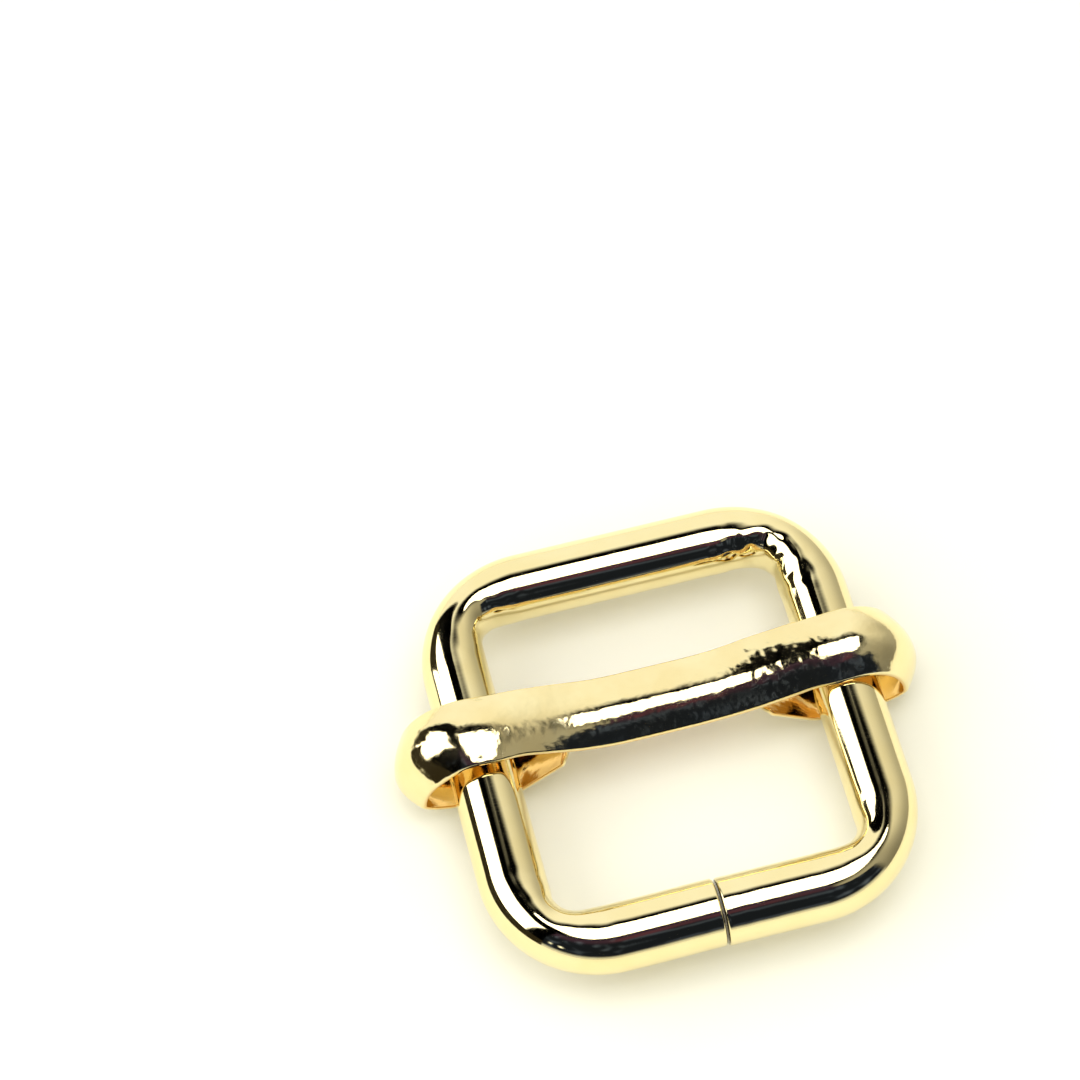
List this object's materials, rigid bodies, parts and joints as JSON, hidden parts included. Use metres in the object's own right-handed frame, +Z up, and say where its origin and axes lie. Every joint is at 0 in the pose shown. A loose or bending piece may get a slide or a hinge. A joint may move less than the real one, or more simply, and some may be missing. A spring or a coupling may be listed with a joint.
{
  "type": "slide buckle",
  "caption": "Rectangular bent-wire strap slider with a cupped centre bar whose curled ends ride along the side rails; adjusts strap length.",
  "frame": {"origin": "middle of the wire frame in plan, on the surface that the bar's two loops stand on", "axes": "+X along the slide bar, across the strap; +Y along the rails, the way the bar slides, away from the wire's seam; +Z up"},
  "size_m": [0.035, 0.0304, 0.0078],
  "materials": {
    "wire_gold": "polished light gold electroplate on drawn wire",
    "strip_gold": "light gold electroplate over a slightly rippled pressed strip"
  },
  "bodies": {
    "frame": {"frame_wire": "wire_gold"},
    "slider": {"slide_bar": "strip_gold"}
  },
  "joints": [
    {"name": "bar_slide", "type": "slide", "parent": "frame", "child": "slider", "axis": [0, 1, 0], "range_m": [-0.00945, 0.00555]}
  ]
}
